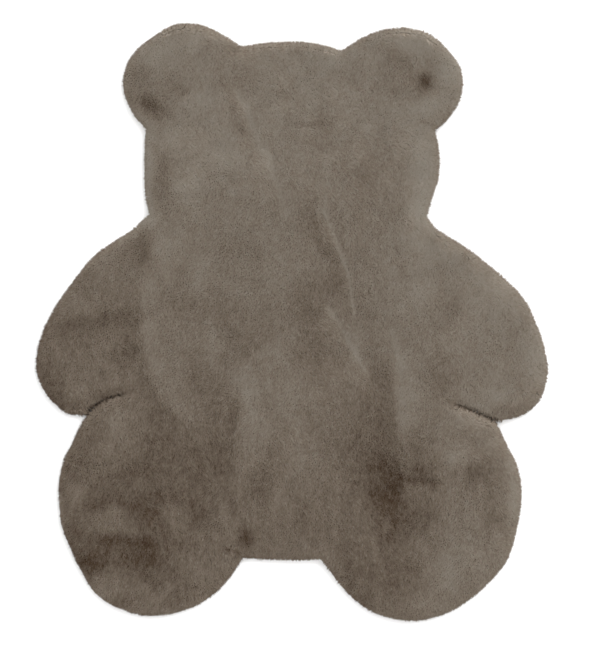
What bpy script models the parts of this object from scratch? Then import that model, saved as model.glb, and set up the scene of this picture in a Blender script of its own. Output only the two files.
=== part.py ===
"""A bear-shaped rug for a child's room: one cut piece of plush pile cloth, lying flat.

The cloth is a thin backing with a short dense pile.  Its outline is a sitting bear seen from the front, with
two ears, a head, two arms and two legs, and a cut between each arm and the leg below it.  The pile rolls over
the cut edge, swells in soft lumps, and parts or steps up where it was brushed two ways.

Units are metres, +Z is up and +Y points to the ears.  The origin is under the middle of the rug's box.
"""

from collections import namedtuple
from math import radians

import bmesh
import bpy
import numpy as np
from mathutils import Vector, noise
from mathutils.geometry import delaunay_2d_cdt

# Driving dimensions
RUG_WIDTH = 0.800  # across both arms
RUG_LENGTH = 0.934  # from the ears to the feet
RUG_THICKNESS = 0.0175  # backing and standing pile
EDGE_ROLL = 0.016  # how far in from the edge the pile reaches its full height
EDGE_HEIGHT = 0.006  # where the rolled edge reaches out the furthest
EDGE_TUCK = 0.004  # how far the backing's edge lies inside that reach
CUT_GAP = 0.004  # width of the cut below an arm, at its mouth
LUMP_RISE = 0.0011  # soft swelling of the pile
LUMP_SIZE = 0.055  # distance over which the swelling changes
EDGE_STEP = 0.010  # spacing of points along the edge
PILE_STEP = 0.016  # spacing of points on the pile
ROLL_INSETS = (0.0022, 0.0065, 0.013)  # rows of points on the rolled edge, measured from the edge

# How finely the shapes are worked out
CURVE_SAMPLES = 16  # steps between two points of a smooth line
GRID_CLEARANCE = 0.6 * PILE_STEP  # between the grid of points and the innermost row on the rolled edge
KEPT_INSET = 0.96  # a row's point that lies nearer to the edge than this share of its inset is left out
FADED_END = 0.08  # share of a crease over which each end fades
WHOLE_TRIANGULATION = 0  # the triangulation's plainest output, whose outer triangles are left out here
MERGE_DISTANCE = 1e-6
SHARP_ANGLE = radians(60.0)

PILE_COLOUR = (0.195, 0.162, 0.128, 1.0)  # taupe
PILE_ROUGHNESS = 0.95

# The outline, clockwise from above.  Each stretch runs smoothly through its points to the next one's first
# point, with a corner between the two.  A cut is a route inwards, followed in along one side and out again.
Stretch = namedtuple("Stretch", "name is_cut points")

OUTLINE = (
    Stretch("left ear", False, ((-0.231, 0.302), (-0.254, 0.332), (-0.267, 0.373), (-0.257, 0.411),
                                (-0.228, 0.442), (-0.179, 0.468), (-0.131, 0.462))),
    Stretch("head top", False, ((-0.081, 0.433), (-0.048, 0.438), (0.005, 0.440), (0.051, 0.434))),
    Stretch("right ear", False, ((0.074, 0.426), (0.110, 0.447), (0.152, 0.461), (0.203, 0.456),
                                 (0.239, 0.430), (0.263, 0.395), (0.263, 0.355), (0.248, 0.325))),
    Stretch("right cheek", False, ((0.223, 0.299), (0.229, 0.270), (0.228, 0.229), (0.217, 0.190))),
    Stretch("right arm", False, ((0.209, 0.166), (0.223, 0.148), (0.252, 0.130), (0.283, 0.109),
                                 (0.328, 0.072), (0.363, 0.034), (0.382, -0.006), (0.394, -0.045),
                                 (0.398, -0.082), (0.384, -0.125), (0.356, -0.147))),
    Stretch("right cut", True, ((0.324, -0.156), (0.299, -0.146), (0.277, -0.136), (0.253, -0.128))),
    Stretch("right leg", False, ((0.322, -0.165), (0.335, -0.192), (0.351, -0.226), (0.357, -0.265),
                                 (0.351, -0.320), (0.335, -0.371), (0.303, -0.411), (0.260, -0.445),
                                 (0.209, -0.465), (0.168, -0.466), (0.124, -0.454), (0.085, -0.425),
                                 (0.061, -0.395))),
    Stretch("lap", False, ((0.043, -0.371), (0.005, -0.373), (-0.038, -0.371))),
    Stretch("left leg", False, ((-0.078, -0.369), (-0.097, -0.398), (-0.125, -0.427), (-0.163, -0.449),
                                (-0.224, -0.460), (-0.268, -0.449), (-0.305, -0.428), (-0.328, -0.396),
                                (-0.347, -0.357), (-0.362, -0.317), (-0.367, -0.266), (-0.361, -0.222),
                                (-0.347, -0.190))),
    Stretch("left cut", True, ((-0.329, -0.151), (-0.308, -0.129), (-0.288, -0.118), (-0.261, -0.111))),
    Stretch("left arm", False, ((-0.345, -0.146), (-0.366, -0.135), (-0.390, -0.107), (-0.402, -0.068),
                                (-0.394, -0.022), (-0.370, 0.028), (-0.339, 0.072), (-0.303, 0.112),
                                (-0.256, 0.143))),
    Stretch("left cheek", False, ((-0.226, 0.169), (-0.232, 0.206), (-0.233, 0.254))),
)

# Where the pile parts or changes the way it lies.  A trough is a line that the pile leans away from.  A step
# has low pile on one side, the left of its route, and raised pile on the other.
Crease = namedtuple("Crease", "name is_step rise width route")

CREASES = (
    Crease("head to neck", False, -0.0016, 0.009, ((-0.078, 0.395), (-0.071, 0.316), (-0.045, 0.266),
                                                   (-0.007, 0.182))),
    Crease("chest, upper", False, -0.0020, 0.009, ((0.038, 0.188), (0.065, 0.142), (0.084, 0.085),
                                                   (0.093, 0.027))),
    Crease("chest, lower", False, -0.0020, 0.009, ((0.059, 0.027), (0.084, -0.031), (0.110, -0.070))),
    Crease("right flank", True, 0.0024, 0.016, ((0.168, -0.247), (0.165, -0.205), (0.160, -0.141),
                                                (0.157, -0.077), (0.157, -0.025))),
    Crease("left flank", True, 0.0022, 0.016, ((-0.200, -0.141), (-0.217, -0.108), (-0.236, -0.064),
                                               (-0.239, -0.013), (-0.236, 0.039), (-0.229, 0.117))),
    Crease("lap, left", True, 0.0018, 0.014, ((-0.087, -0.269), (-0.087, -0.186), (-0.086, -0.102))),
    Crease("right hip", False, -0.0024, 0.008, ((0.175, -0.238), (0.200, -0.244), (0.226, -0.251))),
    Crease("left shin", False, -0.0016, 0.010, ((-0.334, -0.341), (-0.277, -0.338), (-0.232, -0.354))),
)

# Hollows, where the pile stands parted, and raised patches.
Patch = namedtuple("Patch", "name rise x y half_width half_length")

PATCHES = (
    Patch("right ear band", -0.0018, 0.181, 0.396, 0.050, 0.016),
    Patch("left ear, lower", -0.0015, -0.217, 0.343, 0.016, 0.018),
    Patch("left arm band", -0.0018, -0.310, -0.008, 0.070, 0.014),
    Patch("right side of the belly", -0.0020, 0.132, -0.250, 0.042, 0.070),
    Patch("right hand", -0.0015, 0.297, -0.238, 0.018, 0.018),
    Patch("left knee", -0.0018, -0.300, -0.262, 0.030, 0.022),
    Patch("left foot", 0.0016, -0.278, -0.296, 0.030, 0.020),
    Patch("right foot", 0.0016, 0.290, -0.360, 0.045, 0.040),
    Patch("belly", 0.0014, 0.010, -0.165, 0.060, 0.055),
    Patch("head", 0.0014, 0.030, 0.330, 0.110, 0.060),
)


def unit_rows(vectors):
    """Scale each row of an array to unit length."""
    return vectors / np.linalg.norm(vectors, axis=1, keepdims=True)


def left_of(directions):
    """Turn each row, a direction in plan, a quarter turn to its left."""
    return np.column_stack((-directions[:, 1], directions[:, 0]))


def smooth_line(points):
    """Run a smooth curve through the points, as a Catmull-Rom spline, and return it as many short steps."""
    p = np.array(points, dtype=float)
    ends_added = np.vstack((2 * p[0] - p[1], p, 2 * p[-1] - p[-2]))
    t = np.linspace(0.0, 1.0, CURVE_SAMPLES, endpoint=False)[:, None]
    pieces = []
    for a, b, c, d in zip(ends_added, ends_added[1:], ends_added[2:], ends_added[3:]):
        bend = 2 * a - 5 * b + 4 * c - d
        twist = 3 * b - a - 3 * c + d
        pieces.append(0.5 * (2 * b + (c - a) * t + bend * t ** 2 + twist * t ** 3))
    return np.vstack(pieces + [p[-1:]])


def even_steps(line, step):
    """Divide a line into equal steps near the given length, and leave out its last point."""
    travelled = np.concatenate(([0.0], np.cumsum(np.linalg.norm(np.diff(line, axis=0), axis=1))))
    count = max(2, round(travelled[-1] / step))
    stops = np.linspace(0.0, travelled[-1], count, endpoint=False)
    return np.column_stack([np.interp(stops, travelled, line[:, axis]) for axis in (0, 1)])


def cut_sides(points):
    """Return the two sides of a cut, from its mouth in to its point and from there out again."""
    route = smooth_line(points)
    across = left_of(unit_rows(np.gradient(route, axis=0)))
    half_gap = 0.5 * CUT_GAP * np.linspace(1.0, 0.0, len(route))[:, None] ** 0.5
    return route - across * half_gap, (route + across * half_gap)[::-1]


def rug_edge():
    """Return the rug's edge as one ring of evenly spaced points, fitted to the rug's width and length."""
    lines = []
    for stretch in OUTLINE:
        lines += cut_sides(stretch.points) if stretch.is_cut else [stretch.points]
    ring = []
    for line, following in zip(lines, lines[1:] + lines[:1]):
        if isinstance(line, tuple):
            line = smooth_line(line + (tuple(following[0]),))
        ring.append(even_steps(line, EDGE_STEP))
    ring = np.vstack(ring)
    low, high = ring.min(axis=0), ring.max(axis=0)
    return (ring - (low + high) / 2) * (np.array((RUG_WIDTH, RUG_LENGTH)) / (high - low))


def inset_ring(ring, inset):
    """Move each point of the clockwise ring inwards, along the middle of its corner."""
    before = unit_rows(ring - np.roll(ring, 1, axis=0))
    after = unit_rows(np.roll(ring, -1, axis=0) - ring)
    return ring - unit_rows(left_of(before) + left_of(after)) * inset


def offsets_from(line, points, closed=False):
    """Measure points against a line.

    Returns each point's distance from the line, the sign of the side that it lies on (1 on the left), and the
    fraction of the line's segments passed where it is nearest.
    """
    start = np.asarray(line, dtype=float)
    end = np.roll(start, -1, axis=0)
    if not closed:
        start, end = start[:-1], end[:-1]
    run = end - start
    reach = points[:, None, :] - start[None, :, :]
    along = np.clip((reach * run).sum(axis=2) / (run * run).sum(axis=1), 0.0, 1.0)
    away = reach - along[:, :, None] * run
    distance = np.linalg.norm(away, axis=2)
    nearest = distance.argmin(axis=1)
    rows = np.arange(len(points))
    turn = run[nearest, 0] * away[rows, nearest, 1] - run[nearest, 1] * away[rows, nearest, 0]
    return distance[rows, nearest], np.sign(turn), (nearest + along[rows, nearest]) / len(start)


def inside_edge(points, edge):
    """Tell which points lie inside the ring, from how often a line to their right crosses it."""
    x, y = points[:, :1], points[:, 1:]
    start, end = edge, np.roll(edge, -1, axis=0)
    spans = (start[:, 1] > y) != (end[:, 1] > y)
    rise = np.where(start[:, 1] == end[:, 1], 1.0, end[:, 1] - start[:, 1])
    crossing = start[:, 0] + (y - start[:, 1]) / rise * (end[:, 0] - start[:, 0])
    return (spans & (x < crossing)).sum(axis=1) % 2 == 1


def lump_rise(points):
    """Soft, uneven swelling of the pile."""
    return np.array([LUMP_RISE * noise.noise(Vector((x, y, 0.0)) / LUMP_SIZE) for x, y in points])


def crease_rise(points):
    """Troughs and steps of the pile, each fading out towards its ends."""
    rise = np.zeros(len(points))
    for crease in CREASES:
        distance, side, fraction = offsets_from(smooth_line(crease.route), points)
        across = distance / crease.width
        fade = np.sin(np.pi * np.clip(fraction, FADED_END, 1.0 - FADED_END)) ** 0.5
        shape = -side * across * np.exp(0.5 - 0.5 * across ** 2) if crease.is_step else np.exp(-across ** 2)
        rise += crease.rise * fade * shape
    return rise


def patch_rise(points):
    """Hollows and raised patches of the pile."""
    rise = np.zeros(len(points))
    for patch in PATCHES:
        across = (points - (patch.x, patch.y)) / (patch.half_width, patch.half_length)
        rise += patch.rise * np.exp(-(across ** 2).sum(axis=1))
    return rise


def pile_heights(points, edge):
    """Height of the pile's surface over each point: a round roll at the edge, then the uneven top."""
    inwards = offsets_from(edge, points, closed=True)[0]
    roll = 1.0 - np.clip(inwards / EDGE_ROLL, 0.0, 1.0)
    fullness = np.sqrt(1.0 - roll ** 2)
    relief = lump_rise(points) + crease_rise(points) + patch_rise(points)
    return EDGE_HEIGHT + fullness * (RUG_THICKNESS - EDGE_HEIGHT + relief)


def pile_points(edge):
    """Spread points over the pile: rows along the rolled edge, and a staggered grid inside them."""
    rows = []
    for inset in ROLL_INSETS:
        row = inset_ring(edge, inset)
        rows.append(row[offsets_from(edge, row, closed=True)[0] > KEPT_INSET * inset])
    low, high = edge.min(axis=0), edge.max(axis=0)
    rank_step = PILE_STEP * np.sin(radians(60.0))
    for rank, y in enumerate(np.arange(low[1], high[1], rank_step)):
        x = np.arange(low[0] + 0.5 * PILE_STEP * (rank % 2), high[0], PILE_STEP)
        rank_points = np.column_stack((x, np.full(len(x), y)))
        clear = offsets_from(edge, rank_points, closed=True)[0] > ROLL_INSETS[-1] + GRID_CLEARANCE
        rows.append(rank_points[clear])
    return np.vstack(rows)


def build_rug():
    """Mesh the rug: the pile's surface, the tuck below its rolled edge, and the flat back of the cloth."""
    edge = rug_edge()
    plan = np.vstack((edge, pile_points(edge)))
    around = [(i, (i + 1) % len(edge)) for i in range(len(edge))]
    flat, _, triangles, sources, _, _ = delaunay_2d_cdt(
        [Vector(point) for point in plan], around, [], WHOLE_TRIANGULATION, MERGE_DISTANCE, True)
    flat = np.array(flat)
    triangles = np.array(triangles)[inside_edge(flat[np.array(triangles)].mean(axis=1), edge)]

    mesh = bmesh.new()
    pile = [mesh.verts.new((x, y, z)) for (x, y), z in zip(flat, pile_heights(flat, edge))]
    on_edge = {source: pile[i] for i, found in enumerate(sources) for source in found if source < len(edge)}
    for index, vert in on_edge.items():
        vert.co = (*edge[index], EDGE_HEIGHT)
    for triangle in triangles:
        mesh.faces.new([pile[i] for i in triangle])
    back = [mesh.verts.new((x, y, 0.0)) for x, y in inset_ring(edge, EDGE_TUCK)]
    for i, j in around:
        mesh.faces.new((on_edge[i], on_edge[j], back[j], back[i]))
    mesh.faces.new(back)
    bmesh.ops.recalc_face_normals(mesh, faces=mesh.faces)
    return mesh


def pile_material():
    """Matt taupe pile."""
    material = bpy.data.materials.new("pile")
    material.use_nodes = True
    shader = material.node_tree.nodes["Principled BSDF"]
    shader.inputs["Base Color"].default_value = PILE_COLOUR
    shader.inputs["Roughness"].default_value = PILE_ROUGHNESS
    shader.inputs["Metallic"].default_value = 0.0
    return material


def main():
    """Clear the scene and make the rug."""
    for thing in list(bpy.data.objects):
        bpy.data.objects.remove(thing, do_unlink=True)
    collection = bpy.data.collections.new("bear_shaped_kids_rug")
    bpy.context.scene.collection.children.link(collection)

    data = bpy.data.meshes.new("rug")
    mesh = build_rug()
    mesh.to_mesh(data)
    mesh.free()
    data.materials.append(pile_material())
    data.shade_smooth()
    data.set_sharp_from_angle(angle=SHARP_ANGLE)
    collection.objects.link(bpy.data.objects.new("rug", data))


main()
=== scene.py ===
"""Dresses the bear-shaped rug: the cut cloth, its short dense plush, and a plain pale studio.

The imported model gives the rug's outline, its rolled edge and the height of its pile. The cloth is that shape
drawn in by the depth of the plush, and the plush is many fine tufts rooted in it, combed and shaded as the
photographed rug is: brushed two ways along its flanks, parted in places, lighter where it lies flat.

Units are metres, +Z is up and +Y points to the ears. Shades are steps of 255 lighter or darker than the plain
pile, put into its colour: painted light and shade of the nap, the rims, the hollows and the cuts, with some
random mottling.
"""

from __future__ import annotations

import logging
import math
from dataclasses import dataclass, field
from enum import Enum
from typing import NamedTuple

import bmesh
import bpy
import numpy as np
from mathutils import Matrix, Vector
from mathutils.bvhtree import BVHTree

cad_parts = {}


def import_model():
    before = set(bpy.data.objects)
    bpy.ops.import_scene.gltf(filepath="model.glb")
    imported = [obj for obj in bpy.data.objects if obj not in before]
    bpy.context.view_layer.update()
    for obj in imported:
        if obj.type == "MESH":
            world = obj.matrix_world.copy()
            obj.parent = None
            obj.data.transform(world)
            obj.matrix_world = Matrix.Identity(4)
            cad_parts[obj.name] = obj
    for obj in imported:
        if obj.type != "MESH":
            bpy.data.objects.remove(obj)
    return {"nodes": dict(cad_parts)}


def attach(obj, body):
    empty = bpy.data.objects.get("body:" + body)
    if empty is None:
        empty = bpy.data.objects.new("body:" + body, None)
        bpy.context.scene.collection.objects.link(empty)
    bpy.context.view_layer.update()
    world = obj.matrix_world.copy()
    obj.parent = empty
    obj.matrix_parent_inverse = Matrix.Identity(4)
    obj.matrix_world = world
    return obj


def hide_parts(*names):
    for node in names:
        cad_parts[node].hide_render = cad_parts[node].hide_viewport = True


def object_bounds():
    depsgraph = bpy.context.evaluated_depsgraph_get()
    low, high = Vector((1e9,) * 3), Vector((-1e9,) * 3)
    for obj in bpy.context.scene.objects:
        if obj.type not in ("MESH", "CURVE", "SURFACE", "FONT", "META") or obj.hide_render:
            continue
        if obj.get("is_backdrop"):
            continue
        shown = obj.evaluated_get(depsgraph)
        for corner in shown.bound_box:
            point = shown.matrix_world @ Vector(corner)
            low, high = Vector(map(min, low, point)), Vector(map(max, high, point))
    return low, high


Array = np.ndarray
Colour = tuple[float, float, float]
Route = tuple[tuple[float, float], ...]
log = logging.getLogger("bear_rug")

# The colour card that the tufts are mapped to: tone from dark to light across it, painted shade to painted
# light, and root to tip up it, where the roots are painted lighter.
CARD_MAP = "OFBake"
CARD_LOW, CARD_HIGH = 0.02, 0.98

# Metres from band to band of a wave texture whose scale is 1.
WAVE_PERIOD = 0.314


class NapKind(Enum):
    """How the pile lies along a line."""

    # The dark and light that each kind shows is painted into the pile's colour: painted shade along a parting,
    # a painted highlight along a ridge, both across a step, and painted shadow along a cut.
    PARTING = "leans away to both sides, and the line shows dark"
    RIDGE = "is pushed together, and the line shows light"
    STEP = "is brushed two ways, dark on the left of the line and light on its right"
    CUT = "is cut through, and the pile of both sides closes over the gap"


class NapLine(NamedTuple):
    """A line along which the pile changes the way it lies."""

    name: str
    kind: NapKind
    shade: float
    width: float
    route: Route


class Patch(NamedTuple):
    """A soft round-ended area of lighter or darker pile: painted light and shade in the pile's colour."""

    name: str
    shade: float
    x: float
    y: float
    half_width: float
    half_length: float
    turn: float


class EdgeRow(NamedTuple):
    """A row of tufts on the rolled edge, from their roots to their tips."""

    name: str
    root_inset: float
    root_height: float
    tip_inset: float
    tip_height: float
    # Painted shade of the row, darker towards the floor.
    shade: float


class Region(NamedTuple):
    """A part of the bear whose pile is one piece of mesh, named by its middle."""

    name: str
    x: float
    y: float


# Each line's shade is painted into the pile's colour: painted shade along partings, painted highlight along
# ridges, both across steps, and painted shadow in cuts.
NAP_LINES = (
    NapLine("brow to cheek", NapKind.PARTING, -5.0, 0.010,
            ((-0.125, 0.430), (-0.112, 0.380), (-0.090, 0.330), (-0.064, 0.250))),
    NapLine("brow to chin", NapKind.RIDGE, 6.0, 0.007,
            ((-0.086, 0.359), (-0.070, 0.328), (-0.055, 0.292), (-0.034, 0.245), (-0.009, 0.172))),
    NapLine("chest, upper", NapKind.RIDGE, 9.5, 0.005,
            ((0.050, 0.175), (0.071, 0.120), (0.086, 0.078), (0.092, 0.042), (0.097, 0.018))),
    NapLine("chest, lower", NapKind.RIDGE, 10.0, 0.006,
            ((0.055, 0.023), (0.078, -0.009), (0.091, -0.034), (0.118, -0.081))),
    NapLine("right flank", NapKind.STEP, 10.0, 0.013,
            ((0.172, -0.250), (0.166, -0.205), (0.161, -0.141), (0.158, -0.088))),
    NapLine("above the right flank", NapKind.RIDGE, 8.0, 0.008,
            ((0.170, -0.070), (0.165, -0.040), (0.158, -0.014))),
    NapLine("left flank", NapKind.STEP, 6.0, 0.014,
            ((-0.176, -0.150), (-0.200, -0.115), (-0.226, -0.064), (-0.236, -0.010), (-0.234, 0.050),
             (-0.230, 0.090), (-0.217, 0.124))),
    NapLine("lap, left", NapKind.STEP, 9.0, 0.013,
            ((-0.084, -0.300), (-0.090, -0.230), (-0.091, -0.190), (-0.083, -0.140), (-0.082, -0.112))),
    NapLine("left hip to belly", NapKind.STEP, 4.0, 0.014,
            ((-0.094, -0.100), (-0.088, -0.078), (-0.070, -0.055), (-0.050, -0.038), (-0.018, -0.018))),
    NapLine("right hip", NapKind.PARTING, -15.0, 0.006,
            ((0.171, -0.239), (0.186, -0.246), (0.205, -0.248), (0.228, -0.250))),
    NapLine("left shin, upper", NapKind.STEP, 3.5, 0.007,
            ((-0.314, -0.305), (-0.299, -0.291), (-0.280, -0.286), (-0.258, -0.288))),
    NapLine("left shin, lower", NapKind.STEP, 4.0, 0.007,
            ((-0.234, -0.334), (-0.258, -0.325), (-0.277, -0.325), (-0.297, -0.336))),
    NapLine("left calf", NapKind.RIDGE, 6.0, 0.006,
            ((-0.206, -0.290), (-0.195, -0.303), (-0.167, -0.320), (-0.141, -0.337))),
    NapLine("left groin", NapKind.PARTING, -14.0, 0.003,
            ((-0.104, -0.350), (-0.093, -0.354), (-0.082, -0.359))),
    # Painted shadow along the arms' edges over the cuts, and in the crease under the right ear.
    NapLine("under the left hand", NapKind.PARTING, -7.0, 0.004,
            ((-0.298, -0.124), (-0.318, -0.132), (-0.340, -0.136))),
    NapLine("end of the right cut", NapKind.PARTING, -12.0, 0.004,
            ((0.244, -0.123), (0.260, -0.130), (0.278, -0.138))),
    NapLine("under the right ear", NapKind.PARTING, -9.0, 0.004,
            ((0.204, 0.315), (0.214, 0.310), (0.230, 0.303))),
    # Painted shadow in each cut's gap.
    NapLine("left cut", NapKind.CUT, -5.0, 0.0032,
            ((-0.326, -0.141), (-0.308, -0.129), (-0.288, -0.118), (-0.261, -0.111))),
    NapLine("right cut", NapKind.CUT, -6.0, 0.0028,
            ((0.320, -0.151), (0.299, -0.146), (0.277, -0.136), (0.253, -0.128))),
)

# Each patch's shade is painted into the pile's colour: painted light and shade of the nap, lighter where the
# pile lies flat and darker where it stands or parts.
HEAD_PATCHES = (
    Patch("head", 6.0, 0.00, 0.30, 0.22, 0.15, 0),
    Patch("crown and ears", 6.0, 0.00, 0.39, 0.32, 0.11, 0),
    Patch("crown, left", -7.0, -0.080, 0.382, 0.020, 0.026, 0),
    Patch("crown, right", 6.0, 0.064, 0.408, 0.032, 0.016, 0),
    Patch("crown, middle", -6.0, -0.009, 0.354, 0.014, 0.036, 0),
    Patch("crown, left corner", -10.0, -0.090, 0.425, 0.016, 0.010, -20),
    Patch("brow, middle", -9.0, 0.050, 0.305, 0.022, 0.030, 0),
    Patch("brow, right", -5.0, 0.106, 0.386, 0.026, 0.022, 0),
    Patch("right temple", 4.0, 0.165, 0.300, 0.048, 0.036, 0),
    Patch("right face", -7.0, 0.120, 0.244, 0.034, 0.034, 0),
    Patch("right cheek", 14.0, 0.204, 0.232, 0.023, 0.072, 0),
    Patch("right jaw", 8.0, 0.196, 0.172, 0.022, 0.022, 0),
    Patch("left cheek", -7.0, -0.198, 0.235, 0.012, 0.050, 0),
    Patch("left cheek, rim", 12.0, -0.222, 0.245, 0.009, 0.050, 0),
    Patch("left cheek, upper", 8.0, -0.190, 0.285, 0.026, 0.030, 0),
    Patch("left jaw", 11.0, -0.166, 0.210, 0.030, 0.026, 0),
    Patch("left neck", 14.0, -0.224, 0.170, 0.016, 0.026, 0),
    Patch("left face", 9.0, -0.106, 0.256, 0.036, 0.034, 0),
    Patch("left temple", 5.0, -0.140, 0.345, 0.034, 0.026, 0),
    Patch("left ear, outer top", 10.0, -0.208, 0.418, 0.026, 0.024, 0),
    Patch("left ear, top", 8.0, -0.155, 0.440, 0.045, 0.020, 0),
    Patch("left ear, inner", -7.0, -0.172, 0.366, 0.022, 0.020, 0),
    Patch("left ear, outer", -6.0, -0.234, 0.384, 0.014, 0.022, 0),
    Patch("left ear fold", -32.0, -0.220, 0.338, 0.024, 0.012, -30),
    Patch("right ear, outer", 14.0, 0.247, 0.394, 0.025, 0.042, 0),
    Patch("right ear, top", 12.0, 0.180, 0.436, 0.045, 0.022, 0),
    Patch("right ear band", -9.0, 0.165, 0.415, 0.030, 0.014, -45),
    Patch("right ear spot", -38.0, 0.207, 0.377, 0.012, 0.013, 0),
    Patch("right ear, inner", -8.0, 0.170, 0.374, 0.018, 0.018, 0),
    Patch("right ear, lower", 9.0, 0.212, 0.338, 0.036, 0.013, 5),
)

ARM_PATCHES = (
    Patch("right shoulder", 8.0, 0.214, 0.112, 0.048, 0.024, -20),
    Patch("right armpit", 7.0, 0.196, 0.052, 0.024, 0.028, 0),
    Patch("right arm", 7.0, 0.28, 0.00, 0.13, 0.16, 0),
    Patch("right arm, outer", 5.0, 0.32, 0.06, 0.06, 0.05, 40),
    Patch("right arm, inner", -8.0, 0.250, 0.025, 0.020, 0.028, 0),
    Patch("right hand", 12.0, 0.378, -0.052, 0.024, 0.052, 0),
    Patch("right wrist", 9.0, 0.320, -0.112, 0.024, 0.012, 10),
    # Painted shadow under the right hand's edge, and painted light just above the right cut.
    Patch("right hand, below", -9.0, 0.340, -0.136, 0.024, 0.010, 0),
    Patch("above the right cut", 7.0, 0.295, -0.129, 0.022, 0.008, -20),
    Patch("right elbow", -12.0, 0.231, -0.082, 0.024, 0.042, 0),
    Patch("left arm", -6.0, -0.32, -0.02, 0.09, 0.12, 0),
    Patch("left hand", -19.0, -0.386, -0.092, 0.022, 0.050, 10),
    # Painted shadow under the left hand's edge, over the left cut.
    Patch("left hand, below", -18.0, -0.348, -0.127, 0.027, 0.012, 12),
    Patch("left shoulder top", 10.0, -0.250, 0.142, 0.040, 0.018, 30),
    Patch("left upper arm", 5.0, -0.260, 0.060, 0.022, 0.045, 0),
    Patch("left arm band", -12.0, -0.300, 0.004, 0.065, 0.013, 6),
    Patch("left arm spot", -10.0, -0.360, -0.014, 0.024, 0.024, 0),
    Patch("left elbow", -7.0, -0.262, -0.052, 0.016, 0.032, 0),
    Patch("left wrist", -15.0, -0.275, -0.107, 0.028, 0.010, 20),
    Patch("left shoulder", -9.0, -0.224, 0.106, 0.014, 0.032, 8),
)

BODY_PATCHES = (
    Patch("chest", 3.0, 0.00, 0.10, 0.20, 0.10, 0),
    Patch("chest, upper right", -6.0, 0.078, 0.158, 0.020, 0.022, 0),
    Patch("chest, upper left", 5.0, -0.178, 0.128, 0.045, 0.028, 0),
    Patch("chest, beside the ridge", -13.0, 0.046, 0.130, 0.016, 0.066, 22),
    Patch("chest, below the ridge", -11.0, 0.064, 0.056, 0.022, 0.022, 0),
    Patch("chest, middle", -11.0, 0.030, 0.024, 0.026, 0.048, 0),
    Patch("chest, centre", 6.0, -0.005, 0.072, 0.017, 0.028, 0),
    Patch("chest, left of middle", -4.0, -0.105, 0.112, 0.036, 0.018, -15),
    Patch("chest, streak", 5.0, -0.083, 0.054, 0.022, 0.009, -35),
    Patch("chest, far left", -9.0, -0.160, 0.028, 0.042, 0.018, 0),
    Patch("chest, left light", 8.0, -0.142, 0.070, 0.018, 0.030, 0),
    Patch("ribs, left", -8.0, -0.104, 0.012, 0.012, 0.026, 0),
    Patch("waist, left", -8.0, -0.070, -0.028, 0.024, 0.028, 0),
    Patch("ribs, left light", 9.0, -0.122, -0.030, 0.016, 0.026, 0),
    Patch("waist, right", -8.0, 0.034, -0.052, 0.032, 0.024, 0),
    Patch("side, below the arm", -5.0, 0.182, -0.083, 0.022, 0.020, 0),
    Patch("waist, beside the ridge", 7.0, 0.102, -0.034, 0.015, 0.028, 0),
    Patch("hip, left light", 10.0, -0.090, -0.092, 0.016, 0.020, 0),
    Patch("lap, upper left", -9.0, -0.084, -0.142, 0.012, 0.024, 0),
    Patch("flank, left", -7.0, -0.145, -0.105, 0.022, 0.034, 0),
    Patch("left flank to lap", -8.0, -0.134, -0.216, 0.045, 0.076, 0),
    Patch("lower body", -8.0, 0.00, -0.30, 0.36, 0.12, 0),
    Patch("belly, right", -10.0, 0.105, -0.180, 0.028, 0.072, 0),
    Patch("belly, upper", 6.0, 0.006, -0.108, 0.030, 0.022, 0),
    Patch("belly, middle", 5.0, -0.040, -0.170, 0.024, 0.030, 0),
    Patch("lap, middle", 6.0, 0.020, -0.215, 0.024, 0.020, 0),
    Patch("lap, right", -6.0, 0.056, -0.242, 0.016, 0.018, 0),
    Patch("lap corner", -22.0, -0.073, -0.335, 0.012, 0.015, 0),
    Patch("lap streak", -13.0, -0.052, -0.256, 0.018, 0.040, -15),
    Patch("lap, beside the streak", 7.0, -0.024, -0.272, 0.012, 0.018, 0),
    Patch("lap, left edge", -5.0, -0.078, -0.252, 0.010, 0.046, 0),
    Patch("lap, lower", -11.0, 0.012, -0.300, 0.012, 0.030, 0),
    Patch("lap hem", -4.0, -0.015, -0.370, 0.055, 0.006, 0),
)

RIGHT_LEG_PATCHES = (
    # Painted shade in the hollows of the right flank and hip.
    Patch("right flank hollow", -25.0, 0.140, -0.240, 0.034, 0.044, 0),
    Patch("right flank, above", -8.0, 0.132, -0.162, 0.016, 0.026, 0),
    Patch("right flank, below", -17.0, 0.148, -0.280, 0.026, 0.022, 0),
    Patch("right flank, outer", -14.0, 0.190, -0.195, 0.022, 0.030, 0),
    Patch("right leg, outer", 6.0, 0.30, -0.30, 0.07, 0.14, 0),
    Patch("right hip hollow", -22.0, 0.204, -0.234, 0.030, 0.026, 0),
    Patch("right hip, lower", -16.0, 0.208, -0.300, 0.030, 0.026, 0),
    Patch("right thigh", -23.0, 0.157, -0.322, 0.026, 0.036, 0),
    Patch("right calf", -19.0, 0.161, -0.398, 0.032, 0.040, 0),
    Patch("right inner thigh", -11.0, 0.096, -0.382, 0.032, 0.036, 20),
    Patch("right groin", -7.0, 0.078, -0.346, 0.018, 0.012, 0),
    Patch("right heel", -12.0, 0.105, -0.430, 0.034, 0.018, -20),
    Patch("right sole", 8.0, 0.190, -0.436, 0.030, 0.014, 0),
    Patch("right knee", -20.0, 0.288, -0.232, 0.025, 0.024, 0),
    Patch("right thigh, light", 11.0, 0.252, -0.212, 0.026, 0.018, 0),
    Patch("right shin", -14.0, 0.310, -0.294, 0.022, 0.034, 0),
    Patch("right foot, light", 12.0, 0.248, -0.384, 0.026, 0.032, 0),
    Patch("right shin, light", 5.0, 0.248, -0.308, 0.026, 0.030, 0),
    # Painted light along the right leg's rim.
    Patch("right leg rim", 12.0, 0.345, -0.270, 0.012, 0.060, 0),
)

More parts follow.
